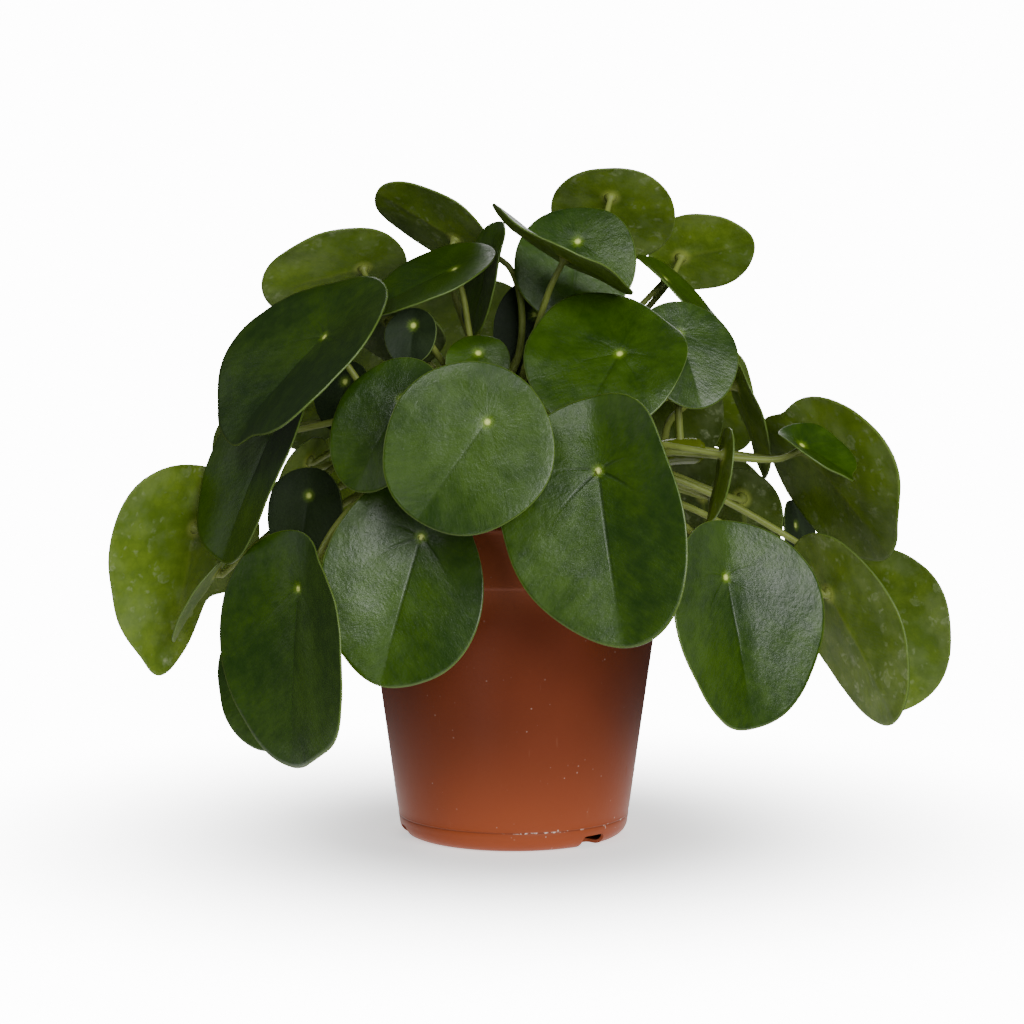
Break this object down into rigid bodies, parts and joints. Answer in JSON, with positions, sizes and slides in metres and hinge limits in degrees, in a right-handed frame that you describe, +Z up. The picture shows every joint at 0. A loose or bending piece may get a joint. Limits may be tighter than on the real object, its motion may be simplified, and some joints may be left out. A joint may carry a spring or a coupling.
{
  "type": "potted pilea plant",
  "caption": "Pilea peperomioides: round glossy leaves on long stalks from leafy shoots, growing in soil in a tapered terracotta-coloured plastic nursery pot.",
  "frame": {"origin": "centre of the pot's underside, on the surface that it stands on", "axes": "+Z up along the pot's axis, +X along the plant's widest spread, -Y towards the side that the picture shows"},
  "size_m": [0.3247, 0.2369, 0.2514],
  "materials": {
    "leaf": "waxy dark green leaf, olive and matt underneath, pale dot where the stalk joins",
    "stem": "pale yellow-green stem, browner and ridged near the soil",
    "soil": "dark crumbly potting soil with bits of bark and perlite",
    "pot_plastic": "semi-gloss terracotta-coloured plastic with fine scuffs"
  },
  "bodies": {
    "root": {"leaf_01": "leaf", "leaf_02": "leaf", "leaf_03": "leaf", "leaf_04": "leaf", "leaf_05": "leaf", "leaf_06": "leaf", "leaf_07": "leaf", "leaf_08": "leaf", "leaf_09": "leaf", "leaf_10": "leaf", "leaf_11": "leaf", "leaf_12": "leaf", "leaf_13": "leaf", "leaf_14": "leaf", "leaf_15": "leaf", "leaf_16": "leaf", "leaf_17": "leaf", "leaf_18": "leaf", "leaf_19": "leaf", "leaf_20": "leaf", "leaf_21": "leaf", "leaf_22": "leaf", "leaf_23": "leaf", "leaf_24": "leaf", "leaf_25": "leaf", "leaf_26": "leaf", "leaf_27": "leaf", "leaf_28": "leaf", "leaf_29": "leaf", "leaf_30": "leaf", "leaf_31": "leaf", "leaf_32": "leaf", "leaf_33": "leaf", "leaf_34": "leaf", "leaf_35": "leaf", "leaf_36": "leaf", "leaf_37": "leaf", "leaf_38": "leaf", "leaf_39": "leaf", "leaf_40": "leaf", "leaf_41": "leaf", "leaf_42": "leaf", "leaf_43": "leaf", "leaf_44": "leaf", "leaf_45": "leaf", "leaf_46": "leaf", "leaf_47": "leaf", "leaf_48": "leaf", "shoot_main": "stem", "shoot_right": "stem", "shoot_left": "stem", "shoot_back": "stem", "soil": "soil", "pot": "pot_plastic"}
  },
  "joints": []
}
